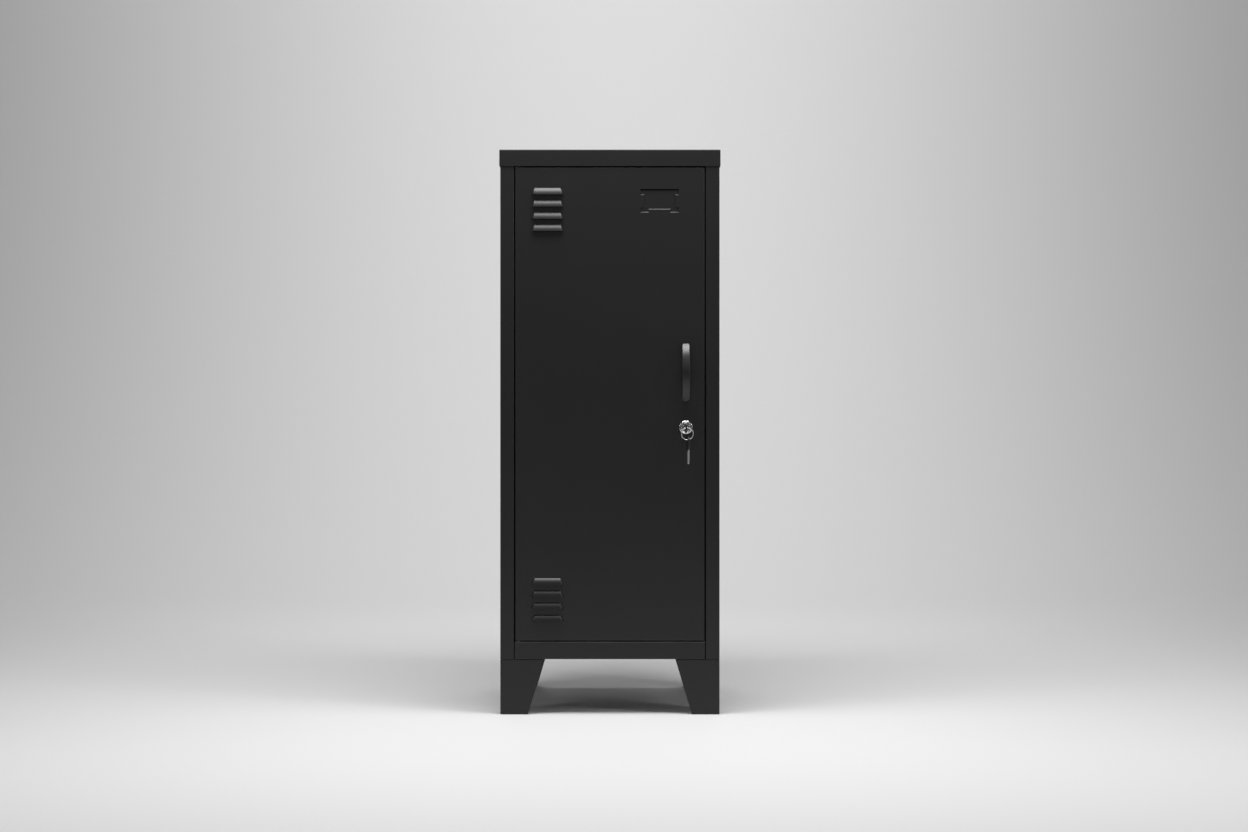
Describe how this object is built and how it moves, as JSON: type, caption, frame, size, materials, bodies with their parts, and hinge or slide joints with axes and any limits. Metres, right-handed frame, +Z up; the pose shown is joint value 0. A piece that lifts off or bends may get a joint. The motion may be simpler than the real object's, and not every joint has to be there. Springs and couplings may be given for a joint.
{
  "type": "locker cabinet",
  "caption": "Tall narrow steel locker on tapered folded feet, with a lid, a louvred hinged door, a bow handle, a card holder, a cam lock with keys and shelves inside.",
  "frame": {"origin": "on the floor, under the middle of the whole outline", "axes": "+Z up, -Y out of the door, +X to the right of someone facing the door"},
  "size_m": [0.4, 0.4346, 1.022],
  "materials": {
    "powder_coat": "satin",
    "handle_coat": "satin",
    "chrome": "polished",
    "key_steel": "satin",
    "zinc": "satin",
    "spring_steel": "satin",
    "key_plastic": "matte",
    "nylon": "matte",
    "rubber": "matte"
  },
  "bodies": {
    "cabinet": {"lid": "powder_coat", "left_side_panel": "powder_coat", "right_side_panel": "powder_coat", "back_panel": "powder_coat", "header_rail": "powder_coat", "bottom_tray": "powder_coat", "front_left_upright": "powder_coat", "rear_left_upright": "powder_coat", "front_right_upright": "powder_coat", "rear_right_upright": "powder_coat", "lower_shelf": "powder_coat", "upper_shelf": "powder_coat", "front_left_foot": "powder_coat", "front_right_foot": "powder_coat", "rear_left_foot": "powder_coat", "rear_right_foot": "powder_coat", "lower_shelf_clips": "zinc", "upper_shelf_clips": "zinc", "foot_bolts": "zinc", "foot_nuts": "zinc", "lid_screws": "zinc", "back_screws": "zinc", "lower_hinge_bush": "nylon", "upper_hinge_bush": "nylon", "door_buffers": "rubber"},
    "door": {"door_panel": "powder_coat", "door_stiffener": "powder_coat", "pull_handle": "handle_coat", "handle_screws": "zinc", "lower_hinge_pin": "zinc", "pin_bracket": "powder_coat", "pin_spring": "spring_steel", "lock_housing": "chrome", "lock_nut": "zinc"},
    "upper_pin": {"upper_hinge_pin": "zinc", "pin_collar": "zinc"},
    "plug": {"lock_plug": "chrome", "lock_cam": "zinc", "cam_washer": "zinc", "cam_screw": "zinc"},
    "key": {"inserted_key": "key_steel", "inserted_key_cover": "key_plastic"},
    "ring": {"key_ring": "key_steel"},
    "spare": {"spare_key": "key_steel", "spare_key_cover": "key_plastic"}
  },
  "joints": [
    {"name": "door_swing", "type": "hinge", "parent": "cabinet", "child": "door", "pos_m": [-0.1659, -0.17797, 0.5], "axis": [0, 0, -1], "range_deg": [0, 105]},
    {"name": "upper_pin_retract", "type": "slide", "parent": "door", "child": "upper_pin", "axis": [0, 0, -1], "range_m": [0, 0.009], "stiffness_N_per_m": 300, "springref_m": -0.01, "deforming": ["pin_spring"]},
    {"name": "lock_turn", "type": "hinge", "parent": "door", "child": "plug", "pos_m": [0.1374, -0.18347, 0.5195], "axis": [0, -1, 0], "range_deg": [0, 90]},
    {"name": "key_withdraw", "type": "slide", "parent": "plug", "child": "key", "axis": [0, -1, 0], "range_m": [0, 0.024]},
    {"name": "ring_swing", "type": "hinge", "parent": "key", "child": "ring", "pos_m": [0.1374, -0.20833, 0.5183], "axis": [0, 1, 0], "range_deg": [-14, 25]},
    {"name": "spare_key_swing", "type": "hinge", "parent": "ring", "child": "spare", "pos_m": [0.1409, -0.20833, 0.4976], "axis": [1, 0, 0], "range_deg": [-60, 20]}
  ]
}
